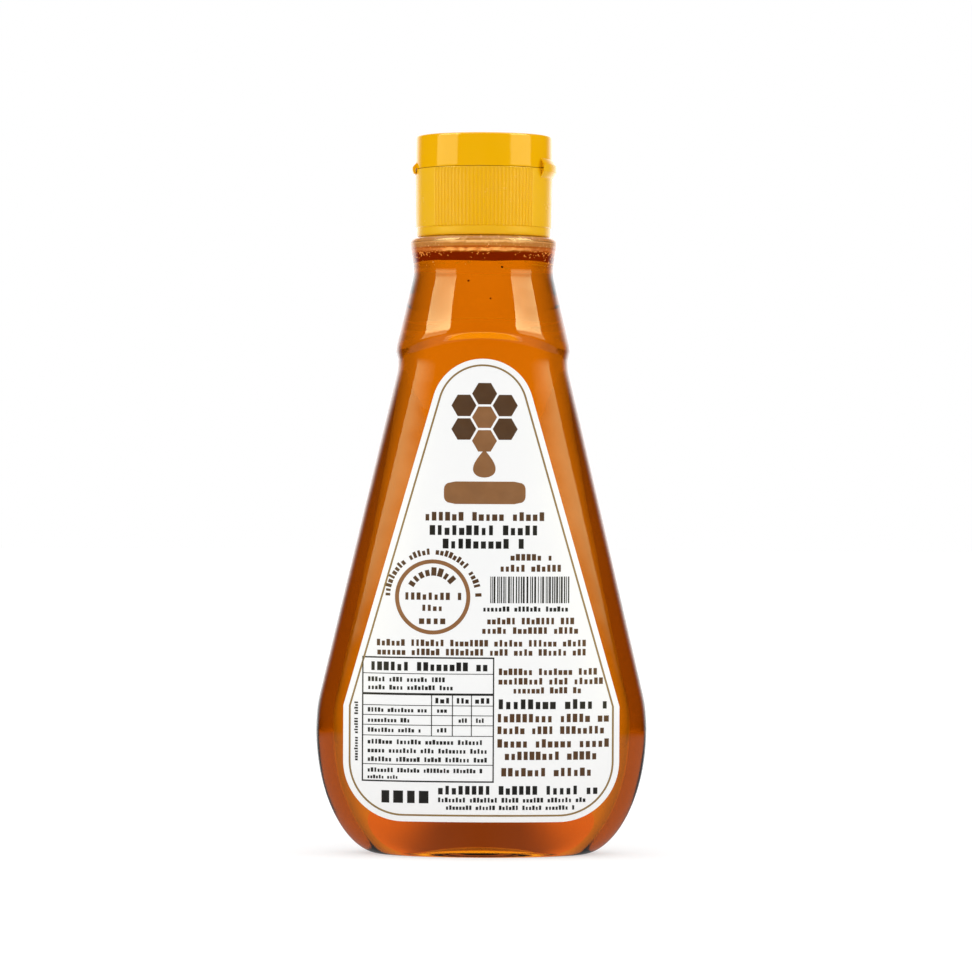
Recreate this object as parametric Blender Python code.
"""Honey squeeze bottle with a flip-top cap, in metres, +Z up.

The origin is the centre of the foot. The label faces -Y, the lid's hinge is at +X
and its thumb tab at -X. Every height builds on the one below it, and the closure
takes its sizes from the neck, so a size can be changed by itself.
"""

import math

import bmesh
import bpy
import numpy as np

# Bottle body, seen from the front: the foot, the widest place or hip, the tapered
# label panels, the ridge over them, the waist and the collar
FOOT_HALF_WIDTH = 0.0290
FOOT_HALF_DEPTH = 0.0172
FOOT_RING_WIDTH = 0.0030
PUSH_UP_HEIGHT = 0.0025
HIP_HEIGHT = 0.0348
HIP_HALF_WIDTH = 0.04626
HIP_HALF_DEPTH = 0.0220
PANEL_HEIGHT = 0.1018
PANEL_TOP_HALF_WIDTH = 0.02373
PANEL_TOP_HALF_DEPTH = 0.0190
PANEL_HOLLOW = 0.0010
RIDGE_HEIGHT = 0.0032
RIDGE_OVERHANG_SIDE = 0.00056
RIDGE_OVERHANG_FRONT = 0.0028
PANEL_ARCH_RISE = 0.0059
RIDGE_ARCH_RISE = 0.0052
ARCH_FADE_HEIGHT = 0.0300
BACK_STEP_DROP = 0.0140
BACK_STEP_RISE = 0.0060
SHOULDER_HEIGHT = 0.0224
COLLAR_HEIGHT = 0.0078
COLLAR_EDGE_RADIUS = 0.0014
BODY_WALL = 0.0008
FLOOR_THICKNESS = 0.0015

# Neck: a plain tube here, with room round it for the screw thread
NECK_RADIUS = 0.0163
NECK_WALL = 0.0016
NECK_BEAD_PROUD = 0.0009
NECK_BEAD_HEIGHT = 0.0008
NECK_HEIGHT = 0.0154
NECK_RIM_CHAMFER = 0.0004
NECK_ROOT_RADIUS = 0.0008
WAIST_OVER_NECK = 0.0032
COLLAR_OVER_WAIST = 0.00095

# What is in and on the bottle
FILL_IN_NECK = 0.0016
LABEL_THICKNESS = 0.00025
LABEL_FOOT_MARGIN = 0.0101
LABEL_TOP_MARGIN = 0.0051
LABEL_SIDE_MARGIN = 0.0084
LABEL_TOP_RADIUS = 0.0139
LABEL_CORNER_RADIUS = 0.0165
LABEL_UPRIGHT_HEIGHT = 0.0150

# Cap base: skirt, deck, upstand ring inside the lid, and spout
THREAD_ROOM = 0.00132
CAP_WALL = 0.00145
CAP_TAPER = 0.0002
CAP_FOOT_CHAMFER = 0.0007
CAP_BAND_HEIGHT = 0.0025
CAP_BAND_STEP = 0.0002
SEAL_THICKNESS = 0.0010
SEAL_INNER_STEP = 0.0002
DECK_THICKNESS = 0.0013
UPSTAND_HEIGHT = 0.0015
UPSTAND_WALL = 0.0010
UPSTAND_CLEARANCE = 0.0004
SPOUT_HEIGHT = 0.0055
SPOUT_FOOT_RADIUS = 0.0066
SPOUT_TIP_RADIUS = 0.0036
SPOUT_HOLE_RADIUS = 0.0023
SPOUT_HOLE_LENGTH = 0.0016
SPOUT_MOUTH_RADIUS = 0.0052
SPOUT_LIP_RADIUS = 0.0004
RIB_COUNT = 28
RIB_PITCH_ANGLE = math.radians(3.25)
RIB_GROOVE_DEPTH = 0.0003
RIB_LAND_SHARE = 0.42
RIB_ROOT_SHARE = 0.14

# Lid: flat-topped shell with the plug pin
LID_HEIGHT = 0.0092
LID_WALL = 0.00115
LID_TOP_THICKNESS = 0.0013
LID_EDGE_RADIUS = 0.0006
LID_TAPER = 0.0001
PIN_LENGTH_BELOW_TIP = 0.0025
PIN_NARROWING = 0.0005
PIN_TIP_CHAMFER = 0.0003

# Butterfly hinge: a strap folded out over the parting line, and the thumb tab
HINGE_STAND_OFF = 0.00115
HINGE_HALF_ANGLE = math.radians(34)
WING_HEIGHT = 0.0018
STRAP_THICKNESS = 0.00035
FILM_HALF_HEIGHT = 0.0006
TAB_HALF_ANGLE = math.radians(11.5)
TAB_ROOT_HEIGHT = 0.0022
TAB_CREST_HALF_HEIGHT = 0.0005
TAB_DROP = 0.0015
TAB_SHEAR = 0.0002
TAB_LIP_SHARE = 0.5
WALL_BITE = 0.0004

# Room between pieces that touch, and how far a cutter runs past what it cuts
CLEARANCE = 0.0003
OVERRUN = 0.0010

# Shapes of curves, as shares and powers
HEEL_POWER_SHARE = 0.57
HIP_FLAT_SHARE = 0.05
PANEL_FLAT_SHARE = 0.15
PANEL_START_SHARE = 0.0986
PANEL_END_SHARE = 0.03
RIDGE_START_SHARE = 0.3
RIDGE_END_SHARE = 0.2
SHOULDER_END_SHARE = 0.1
COLLAR_START_SHARE = 0.25
HOLLOW_PEAK_SHARE = 4 / 27

# Where the rows of the body's surface lie within each stretch
DOME_ROW_SHARES = (0.3, 0.7)
HEEL_ROW_SHARES = (0.0, 0.02, 0.07, 0.15, 0.28, 0.44, 0.62, 0.81)
PANEL_ROW_SHARES = (0.0, 0.04, 0.09, 0.2, 0.35, 0.5, 0.65, 0.8, 0.9, 0.96)
RIDGE_ROW_SHARES = (0.0, 0.35, 0.7)
SHOULDER_ROW_SHARES = (0.0, 0.08, 0.3, 0.55, 0.78, 0.92)
COLLAR_ROW_SHARES = (0.0, 0.2, 0.5, 0.8, 1.0)

BODY_COLUMNS = 40
CAP_COLUMNS = 60
LABEL_COLUMNS = 16
LABEL_CORNER_ROWS = 5
LABEL_UPRIGHT_ROWS = 3
LABEL_SIDE_ROWS = 10
LABEL_ARCH_ROWS = 7
SWEEP_STEPS = 14
EDGE_STEPS = 2
SEARCH_STEPS = 12
SHARP_ANGLE = math.radians(32)

# Heights and radii that follow
PANEL_TOP_Z = HIP_HEIGHT + PANEL_HEIGHT
RIDGE_Z = PANEL_TOP_Z + RIDGE_HEIGHT
WAIST_Z = RIDGE_Z + SHOULDER_HEIGHT
COLLAR_Z = WAIST_Z + COLLAR_HEIGHT
BEAD_Z = COLLAR_Z + COLLAR_EDGE_RADIUS
BEAD_TOP_Z = BEAD_Z + NECK_BEAD_HEIGHT
NECK_TOP_Z = BEAD_TOP_Z + NECK_HEIGHT
NECK_BORE_RADIUS = NECK_RADIUS - NECK_WALL
WAIST_RADIUS = NECK_RADIUS + WAIST_OVER_NECK
COLLAR_RADIUS = WAIST_RADIUS + COLLAR_OVER_WAIST
CAP_FOOT_Z = BEAD_Z + CLEARANCE
CAP_BAND_TOP_Z = CAP_FOOT_Z + CAP_BAND_HEIGHT
SEAL_Z = NECK_TOP_Z + CLEARANCE
DECK_Z = SEAL_Z + SEAL_THICKNESS + CLEARANCE
DECK_TOP_Z = DECK_Z + DECK_THICKNESS
PARTING_Z = DECK_TOP_Z + CLEARANCE / 2
LID_FOOT_Z = DECK_TOP_Z + CLEARANCE
LID_TOP_Z = LID_FOOT_Z + LID_HEIGHT
LID_CEILING_Z = LID_TOP_Z - LID_TOP_THICKNESS
SPOUT_TIP_Z = DECK_TOP_Z + SPOUT_HEIGHT
CAP_BORE_RADIUS = NECK_RADIUS + THREAD_ROOM
CAP_RADIUS = CAP_BORE_RADIUS + CAP_WALL
CAP_FOOT_RADIUS = CAP_RADIUS - CAP_TAPER
CAP_BAND_RADIUS = CAP_FOOT_RADIUS - CAP_BAND_STEP
LID_BORE_RADIUS = CAP_RADIUS - LID_WALL
UPSTAND_RADIUS = LID_BORE_RADIUS - UPSTAND_CLEARANCE
HINGE_RADIUS = CAP_RADIUS + HINGE_STAND_OFF
WING_START = FILM_HALF_HEIGHT + CLEARANCE
WING_END = WING_START + WING_HEIGHT
LABEL_FOOT_Z = LABEL_FOOT_MARGIN
LABEL_TOP_Z = PANEL_TOP_Z + PANEL_ARCH_RISE - LABEL_TOP_MARGIN
LABEL_HALF_WIDTH = HIP_HALF_WIDTH - LABEL_SIDE_MARGIN
HINGE_AXIS = (HINGE_RADIUS, 0.0, PARTING_Z)
CAP_CENTRE = (0.0, 0.0, CAP_FOOT_Z)
NO_SHIFT = (0.0, 0.0, 0.0)


def material(name, colour, roughness, transmission=0.0):
    made = bpy.data.materials.new(name)
    made.use_nodes = True
    shader = made.node_tree.nodes["Principled BSDF"]
    shader.inputs["Base Color"].default_value = (*colour, 1.0)
    shader.inputs["Roughness"].default_value = roughness
    shader.inputs["Metallic"].default_value = 0.0
    shader.inputs["Transmission Weight"].default_value = transmission
    return made


def skin(name, finish, loops, ring=False, pivot=NO_SHIFT):
    """A closed mesh through loops of as many points each. The first and last loop are
    filled, or joined to each other where ring is set. The object's origin is at pivot."""
    shape = bmesh.new()
    rows = [[shape.verts.new(np.subtract(point, pivot)) for point in loop] for loop in loops]
    for low, high in zip(rows, rows[1:]):
        bridge(shape, low, high)
    if ring:
        bridge(shape, rows[-1], rows[0])
    else:
        shape.faces.new(rows[0])
        shape.faces.new(rows[-1])
    bmesh.ops.recalc_face_normals(shape, faces=shape.faces)
    mesh = bpy.data.meshes.new(name)
    shape.to_mesh(mesh)
    shape.free()
    mesh.shade_smooth()
    mesh.set_sharp_from_angle(angle=SHARP_ANGLE)
    mesh.materials.append(finish)
    made = bpy.data.objects.new(name, mesh)
    made.location = pivot
    bpy.context.scene.collection.objects.link(made)
    return made


def bridge(shape, low, high):
    for near, far, far_up, near_up in zip(low, low[1:] + low[:1], high[1:] + high[:1], high):
        shape.faces.new((near, far, far_up, near_up))


def boolean(target, tool, operation):
    """Cuts the tool from the target or joins it on, and leaves the tool as a hidden guide."""
    change = target.modifiers.new(tool.name, "BOOLEAN")
    change.operation = operation
    change.object = tool
    tool.hide_render = True
    tool.display_type = "WIRE"


def empty(name, place):
    made = bpy.data.objects.new(name, None)
    made.location = place
    bpy.context.scene.collection.objects.link(made)
    return made


def attach(child, parent, place):
    """Parents the child so that its origin stays on the joint's axis at this place."""
    child.parent = parent
    child.location = np.subtract(place, parent_place(parent))


def parent_place(parent):
    place = np.array(parent.location)
    return place if parent.parent is None else place + parent_place(parent.parent)


def eased(share, start_share, end_share):
    """A straight rise from 0 to 1, rounded by a parabola over each end's share."""
    slope = 1 / (1 - start_share / 2 - end_share / 2)
    if share < start_share:
        return slope * share**2 / (2 * start_share)
    if share > 1 - end_share:
        return 1 - slope * (1 - share) ** 2 / (2 * end_share)
    return slope * (share - start_share / 2)


def mix(start, end, share):
    return start + (end - start) * share


def heights(start, end, shares):
    return [mix(start, end, share) for share in shares]


def body_section(height):
    """Half width, half depth, flattening and arch rise where the sides are this high."""
    if height < HIP_HEIGHT:
        share = (1 - (1 - height / HIP_HEIGHT) ** 2) ** HEEL_POWER_SHARE
        return (
            mix(FOOT_HALF_WIDTH, HIP_HALF_WIDTH, share),
            mix(FOOT_HALF_DEPTH, HIP_HALF_DEPTH, share),
            HIP_FLAT_SHARE * share,
            0.0,
        )
    if height < PANEL_TOP_Z:
        share = (height - HIP_HEIGHT) / PANEL_HEIGHT
        hollow = PANEL_HOLLOW * share**2 * (1 - share) / HOLLOW_PEAK_SHARE
        faded = max(0.0, 1 - (PANEL_TOP_Z - height) / ARCH_FADE_HEIGHT)
        return (
            mix(HIP_HALF_WIDTH, PANEL_TOP_HALF_WIDTH, eased(share, PANEL_START_SHARE, PANEL_END_SHARE)),
            mix(HIP_HALF_DEPTH, PANEL_TOP_HALF_DEPTH, share) - hollow,
            mix(HIP_FLAT_SHARE, PANEL_FLAT_SHARE, share),
            PANEL_ARCH_RISE * faded**2,
        )
    if height < RIDGE_Z:
        share = (height - PANEL_TOP_Z) / RIDGE_HEIGHT
        step = eased(share, RIDGE_START_SHARE, RIDGE_END_SHARE)
        return (
            PANEL_TOP_HALF_WIDTH + RIDGE_OVERHANG_SIDE * step,
            PANEL_TOP_HALF_DEPTH + RIDGE_OVERHANG_FRONT * step,
            mix(PANEL_FLAT_SHARE, 0, step),
            mix(PANEL_ARCH_RISE, RIDGE_ARCH_RISE, share),
        )
    if height < WAIST_Z:
        share = (height - RIDGE_Z) / SHOULDER_HEIGHT
        drop = eased(share, SHOULDER_END_SHARE, SHOULDER_END_SHARE)
        return (
            mix(PANEL_TOP_HALF_WIDTH + RIDGE_OVERHANG_SIDE, WAIST_RADIUS, drop),
            mix(PANEL_TOP_HALF_DEPTH + RIDGE_OVERHANG_FRONT, WAIST_RADIUS, drop),
            0.0,
            RIDGE_ARCH_RISE * (1 - share) ** 2,
        )
    spread = eased((height - WAIST_Z) / COLLAR_HEIGHT, COLLAR_START_SHARE, SHOULDER_END_SHARE)
    radius = WAIST_RADIUS + COLLAR_OVER_WAIST * spread
    return radius, radius, 0.0, 0.0


def back_depth(height, half_depth):
    """Half depth of the back, where one long soft step stands in place of the ridge."""
    low = PANEL_TOP_Z - BACK_STEP_DROP
    high = RIDGE_Z + BACK_STEP_RISE
    if height < low or height > high:
        return half_depth
    share = (height - low) / (high - low)
    soft = share**3 * (10 - 15 * share + 6 * share**2)
    return mix(body_section(low)[1], body_section(high)[1], soft)


def body_ring(height, inset=0.0, raised=0.0, shrink_share=1.0):
    """A loop round the body, as an oval with flattened front and back that rises by the
    square of the cosine of the turn from the front. A floor ring is shrunk by a share."""
    half_width, half_depth, flat_share, rise = body_section(height)
    turn = np.linspace(0, math.tau, BODY_COLUMNS, endpoint=False)
    depth = np.where(np.cos(turn) < 0, back_depth(height, half_depth), half_depth)
    across = (half_width - inset) * shrink_share * np.sin(turn)
    along = -(depth - inset) * shrink_share * np.cos(turn) * (1 + flat_share * np.sin(turn) ** 2)
    up = height + raised + rise * np.cos(turn) ** 2
    return np.stack((across, along, up), axis=1)


def round_ring(radius, height, columns):
    turn = np.linspace(0, math.tau, columns, endpoint=False)
    return np.stack((radius * np.sin(turn), -radius * np.cos(turn), np.full(columns, height)), axis=1)


def turned(profile, columns):
    return [round_ring(radius, height, columns) for radius, height in profile]


def edge_arc(radius, height, size, start, end, steps=EDGE_STEPS):
    """Profile points of a rounded edge of this size round a centre, between two angles."""
    angles = np.linspace(start, end, steps + 1)
    return [(radius + size * math.cos(a), height + size * math.sin(a)) for a in angles]


def body_rows(every=1):
    """Side heights of the rows from the foot to the collar, all of them or every second
    one where the surface bends little."""
    return (
        heights(0, HIP_HEIGHT, HEEL_ROW_SHARES[::every])
        + heights(HIP_HEIGHT, PANEL_TOP_Z, PANEL_ROW_SHARES[::every])
        + heights(PANEL_TOP_Z, RIDGE_Z, RIDGE_ROW_SHARES)
        + heights(RIDGE_Z, WAIST_Z, SHOULDER_ROW_SHARES[::every])
        + heights(WAIST_Z, COLLAR_Z, COLLAR_ROW_SHARES)
    )


def inner_rings(rows, inset, floor):
    """Rings inside the wall, each raised off the floor by an amount that fades at the hip."""
    return [
        body_ring(height, inset, floor * max(0.0, 1 - height / HIP_HEIGHT) ** 2) for height in rows
    ]


def dome_rings(inset, floor):
    """Rings of the floor's dome, from its middle outwards, as a low paraboloid."""
    return [
        body_ring(0, inset, floor + PUSH_UP_HEIGHT * (1 - share**2), share) for share in DOME_ROW_SHARES
    ]


def make_bottle():
    """One blow-moulded shell: base, outer wall, neck, and the inner wall back down."""
    outside = dome_rings(FOOT_RING_WIDTH, 0) + [body_ring(0, FOOT_RING_WIDTH)]
    outside += inner_rings(body_rows(), 0, 0)
    collar = edge_arc(COLLAR_RADIUS - COLLAR_EDGE_RADIUS, COLLAR_Z, COLLAR_EDGE_RADIUS, 0, math.pi / 2)
    neck = collar[1:] + [
        (NECK_RADIUS + NECK_BEAD_PROUD, BEAD_Z),
        (NECK_RADIUS + NECK_BEAD_PROUD, BEAD_TOP_Z),
        (NECK_RADIUS + NECK_ROOT_RADIUS, BEAD_TOP_Z),
        (NECK_RADIUS, BEAD_TOP_Z + NECK_ROOT_RADIUS),
        (NECK_RADIUS, NECK_TOP_Z - NECK_RIM_CHAMFER),
        (NECK_RADIUS - NECK_RIM_CHAMFER, NECK_TOP_Z),
        (NECK_BORE_RADIUS, NECK_TOP_Z),
        (NECK_BORE_RADIUS, BEAD_Z),
        (COLLAR_RADIUS - COLLAR_EDGE_RADIUS - BODY_WALL, BEAD_Z - BODY_WALL),
    ]
    inside = inner_rings(body_rows(every=2), BODY_WALL, FLOOR_THICKNESS)[::-1]
    inside += dome_rings(BODY_WALL + FOOT_RING_WIDTH, FLOOR_THICKNESS)[::-1]
    clear_plastic = material("clear_plastic", (0.93, 0.90, 0.86), 0.08, 0.9)
    return skin("bottle", clear_plastic, outside + turned(neck, BODY_COLUMNS) + inside)


def make_honey():
    """The contents, up to a flat level a little above the neck's root."""
    shoulder = COLLAR_Z - CLEARANCE
    rows = [height for height in body_rows(every=2) if height < shoulder] + [shoulder]
    inset = BODY_WALL + CLEARANCE
    floor = FLOOR_THICKNESS + CLEARANCE
    column = NECK_BORE_RADIUS - CLEARANCE
    neck = [
        (COLLAR_RADIUS - COLLAR_EDGE_RADIUS - inset, BEAD_Z - inset),
        (column, BEAD_Z - CLEARANCE),
        (column, BEAD_Z + FILL_IN_NECK),
    ]
    loops = dome_rings(inset + FOOT_RING_WIDTH, floor) + inner_rings(rows, inset, floor)
    amber = material("honey_amber", (0.74, 0.29, 0.03), 0.1, 0.6)
    return skin("honey", amber, loops + turned(neck, BODY_COLUMNS))


def front_depth(across, height):
    """How far in front of the middle the body's surface lies at this place, found by
    stepping towards the row and the turn that pass through it."""
    side_height = height
    for _ in range(SEARCH_STEPS):
        half_width, half_depth, flat_share, rise = body_section(side_height)
        sine = across / half_width
        side_height = height - rise * (1 - sine**2)
    return half_depth * math.sqrt(1 - sine**2) * (1 + flat_share * sine**2)


def label_rows():
    """Heights and half widths of the label: rounded corners, upright stretch, leaning
    sides, and a round top that the sides meet as tangents."""
    side_z = LABEL_FOOT_Z + LABEL_CORNER_RADIUS + LABEL_UPRIGHT_HEIGHT
    arch_z = LABEL_TOP_Z - LABEL_TOP_RADIUS
    reach = math.hypot(LABEL_HALF_WIDTH, arch_z - side_z)
    lean = math.acos(LABEL_TOP_RADIUS / reach) - math.atan2(arch_z - side_z, LABEL_HALF_WIDTH)
    rows = []
    for angle in np.linspace(math.pi / 2, 0, LABEL_CORNER_ROWS, endpoint=False):
        height = LABEL_FOOT_Z + LABEL_CORNER_RADIUS * (1 - math.sin(angle))
        rows.append((height, LABEL_HALF_WIDTH - LABEL_CORNER_RADIUS * (1 - math.cos(angle))))
    for share in np.linspace(0, 1, LABEL_UPRIGHT_ROWS, endpoint=False):
        rows.append((side_z - LABEL_UPRIGHT_HEIGHT * (1 - share), LABEL_HALF_WIDTH))
    tangent_z = arch_z + LABEL_TOP_RADIUS * math.sin(lean)
    for share in np.linspace(0, 1, LABEL_SIDE_ROWS, endpoint=False):
        half_width = mix(LABEL_HALF_WIDTH, LABEL_TOP_RADIUS * math.cos(lean), share)
        rows.append((mix(side_z, tangent_z, share), half_width))
    for angle in np.linspace(lean, math.pi / 2, LABEL_ARCH_ROWS, endpoint=False):
        height = arch_z + LABEL_TOP_RADIUS * math.sin(angle)
        rows.append((height, LABEL_TOP_RADIUS * math.cos(angle)))
    return rows


def label_point(across, height, outward):
    """A point this far off the body's front, along the surface's normal."""
    step = CLEARANCE
    depth = front_depth(across, height)
    slope_across = (front_depth(across + step, height) - depth) / step
    slope_up = (front_depth(across, height + step) - depth) / step
    normal = np.array((-slope_across, -1, -slope_up))
    return np.array((across, -depth, height)) + outward * normal / np.linalg.norm(normal)


def make_label():
    """A thin printed film that follows the panel, a little off it."""
    spread = np.linspace(-1, 1, LABEL_COLUMNS + 1)
    loops = []
    for height, half_width in label_rows():
        back = [label_point(half_width * share, height, CLEARANCE) for share in spread]
        front = [label_point(half_width * share, height, CLEARANCE + LABEL_THICKNESS) for share in spread]
        loops.append(back + front[::-1])
    return skin("front_label", material("label_film", (0.93, 0.93, 0.91), 0.45), loops)


def swept(profile, middle, half_angle):
    """Loops of a profile carried round the cap's axis, either side of a middle angle."""
    angles = np.linspace(middle - half_angle, middle + half_angle, SWEEP_STEPS + 1)
    return [
        [(radius * math.cos(angle), radius * math.sin(angle), height) for radius, height in profile]
        for angle in angles
    ]


def rib_cutter(name, finish, middle):
    """A comb whose teeth cut the grooves of one face, leaning in with the skirt's taper."""
    foot_z = CAP_BAND_TOP_Z + CLEARANCE
    top_z = DECK_TOP_Z + OVERRUN
    lean = CAP_TAPER / (DECK_TOP_Z - CAP_FOOT_Z)
    outer = CAP_RADIUS + OVERRUN
    land = CAP_RADIUS + CLEARANCE
    loops = []
    for number in range(RIB_COUNT):
        centre = middle + RIB_PITCH_ANGLE * (number - (RIB_COUNT - 1) / 2)
        for offset_share in (-RIB_LAND_SHARE, -RIB_ROOT_SHARE, RIB_ROOT_SHARE, RIB_LAND_SHARE):
            angle = centre + RIB_PITCH_ANGLE * offset_share
            cuts = abs(offset_share) == RIB_ROOT_SHARE
            foot = CAP_RADIUS - RIB_GROOVE_DEPTH - lean * (DECK_TOP_Z - foot_z) if cuts else land
            top = CAP_RADIUS - RIB_GROOVE_DEPTH + lean * OVERRUN if cuts else land
            corners = ((foot, foot_z), (outer, foot_z), (outer, top_z), (top, top_z))
            loops.append([(r * math.cos(angle), r * math.sin(angle), z) for r, z in corners])
    return skin(name, finish, loops)


def hinge_wing(name, finish, side):
    """The strap's half above (side 1) or below (side -1) the parting line, slanting out
    from the wall to the crest with a hollow behind it."""
    root_z = PARTING_Z + side * WING_END
    crest_z = PARTING_Z + side * WING_START
    profile = [
        (CAP_RADIUS - WALL_BITE, root_z),
        (CAP_RADIUS, root_z),
        (HINGE_RADIUS, crest_z),
        (HINGE_RADIUS - STRAP_THICKNESS, crest_z),
    ]
    return skin(name, finish, swept(profile, 0, HINGE_HALF_ANGLE))


def make_cap_base(yellow):
    """Skirt, deck, upstand ring and spout turned as one profile, then ribbed."""
    tip = (SPOUT_TIP_RADIUS - SPOUT_LIP_RADIUS, SPOUT_TIP_Z - SPOUT_LIP_RADIUS)
    profile = [
        (CAP_BORE_RADIUS, CAP_FOOT_Z),
        (CAP_BAND_RADIUS - CAP_FOOT_CHAMFER, CAP_FOOT_Z),
        (CAP_BAND_RADIUS, CAP_FOOT_Z + CAP_FOOT_CHAMFER),
        (CAP_BAND_RADIUS, CAP_BAND_TOP_Z - CAP_BAND_STEP),
        (CAP_FOOT_RADIUS, CAP_BAND_TOP_Z),
        (CAP_RADIUS, DECK_TOP_Z),
        (UPSTAND_RADIUS, DECK_TOP_Z),
        (UPSTAND_RADIUS, DECK_TOP_Z + UPSTAND_HEIGHT),
        (UPSTAND_RADIUS - UPSTAND_WALL, DECK_TOP_Z + UPSTAND_HEIGHT),
        (UPSTAND_RADIUS - UPSTAND_WALL, DECK_TOP_Z),
        (SPOUT_FOOT_RADIUS, DECK_TOP_Z),
        *edge_arc(*tip, SPOUT_LIP_RADIUS, 0, math.pi / 2),
        (SPOUT_HOLE_RADIUS, SPOUT_TIP_Z),
        (SPOUT_HOLE_RADIUS, SPOUT_TIP_Z - SPOUT_HOLE_LENGTH),
        (SPOUT_MOUTH_RADIUS, DECK_Z),
        (CAP_BORE_RADIUS, DECK_Z),
    ]
    base = skin("cap_base", yellow, turned(profile, CAP_COLUMNS), ring=True, pivot=CAP_CENTRE)
    boolean(base, hinge_wing("lower_wing", yellow, -1), "UNION")
    boolean(base, rib_cutter("front_rib_cutter", yellow, -math.pi / 2), "DIFFERENCE")
    boolean(base, rib_cutter("back_rib_cutter", yellow, math.pi / 2), "DIFFERENCE")
    return base


def make_lid(yellow):
    """Flat-topped shell and plug pin turned as one profile, with tab and upper wing."""
    radius = CAP_RADIUS - LID_TAPER
    pin_radius = SPOUT_HOLE_RADIUS - CLEARANCE
    tip_radius = pin_radius - PIN_NARROWING
    tip_z = SPOUT_TIP_Z - PIN_LENGTH_BELOW_TIP
    edge = edge_arc(radius - LID_EDGE_RADIUS, LID_TOP_Z - LID_EDGE_RADIUS, LID_EDGE_RADIUS, math.pi / 2, 0)
    profile = edge + [
        (CAP_RADIUS, LID_FOOT_Z),
        (LID_BORE_RADIUS, LID_FOOT_Z),
        (LID_BORE_RADIUS, LID_CEILING_Z),
        (SPOUT_HOLE_RADIUS, LID_CEILING_Z),
        (pin_radius, SPOUT_TIP_Z),
        (tip_radius, tip_z + PIN_TIP_CHAMFER),
        (tip_radius - PIN_TIP_CHAMFER, tip_z),
    ]
    tab_crest = CAP_RADIUS + HINGE_STAND_OFF
    tab_inner = CAP_RADIUS + CLEARANCE
    tab_profile = [
        (CAP_RADIUS - WALL_BITE, LID_FOOT_Z + TAB_SHEAR),
        (tab_inner, LID_FOOT_Z + TAB_SHEAR),
        (tab_inner, PARTING_Z - TAB_DROP),
        (mix(tab_inner, tab_crest, TAB_LIP_SHARE), PARTING_Z - TAB_DROP),
        (tab_crest, PARTING_Z - TAB_CREST_HALF_HEIGHT),
        (tab_crest, PARTING_Z + TAB_CREST_HALF_HEIGHT),
        (CAP_RADIUS - WALL_BITE, PARTING_Z + TAB_ROOT_HEIGHT),
    ]
    lid = skin("lid", yellow, turned(profile, CAP_COLUMNS), pivot=HINGE_AXIS)
    boolean(lid, skin("thumb_tab", yellow, swept(tab_profile, math.pi, TAB_HALF_ANGLE)), "UNION")
    boolean(lid, hinge_wing("upper_wing", yellow, 1), "UNION")
    return lid


def make_hinge_film(yellow):
    """The thin strip at the strap's crest that bends as the lid opens."""
    inner = HINGE_RADIUS - STRAP_THICKNESS
    low = PARTING_Z - FILM_HALF_HEIGHT
    high = PARTING_Z + FILM_HALF_HEIGHT
    profile = [(inner, low), (HINGE_RADIUS, low), (HINGE_RADIUS, high), (inner, high)]
    return skin("hinge_film", yellow, swept(profile, 0, HINGE_HALF_ANGLE), pivot=HINGE_AXIS)


def make_sealing_ring():
    """Flat liner between the neck's rim and the deck."""
    inner = NECK_BORE_RADIUS + SEAL_INNER_STEP
    outer = CAP_BORE_RADIUS - CLEARANCE
    top = SEAL_Z + SEAL_THICKNESS
    profile = [(inner, SEAL_Z), (outer, SEAL_Z), (outer, top), (inner, top)]
    foam = material("liner_foam", (0.90, 0.90, 0.88), 0.6)
    return skin("sealing_ring", foam, turned(profile, BODY_COLUMNS), ring=True, pivot=CAP_CENTRE)


def main():
    for old in list(bpy.data.objects):
        bpy.data.objects.remove(old)
    make_bottle()
    make_honey()
    make_label()
    cap_axis = empty("cap_axis", CAP_CENTRE)
    yellow = material("yellow_plastic", (0.90, 0.52, 0.02), 0.3)
    attach(make_sealing_ring(), cap_axis, CAP_CENTRE)
    attach(make_cap_base(yellow), cap_axis, CAP_CENTRE)
    lid_axis = empty("lid_axis", NO_SHIFT)
    attach(lid_axis, cap_axis, HINGE_AXIS)
    attach(make_lid(yellow), lid_axis, HINGE_AXIS)
    attach(make_hinge_film(yellow), lid_axis, HINGE_AXIS)


main()
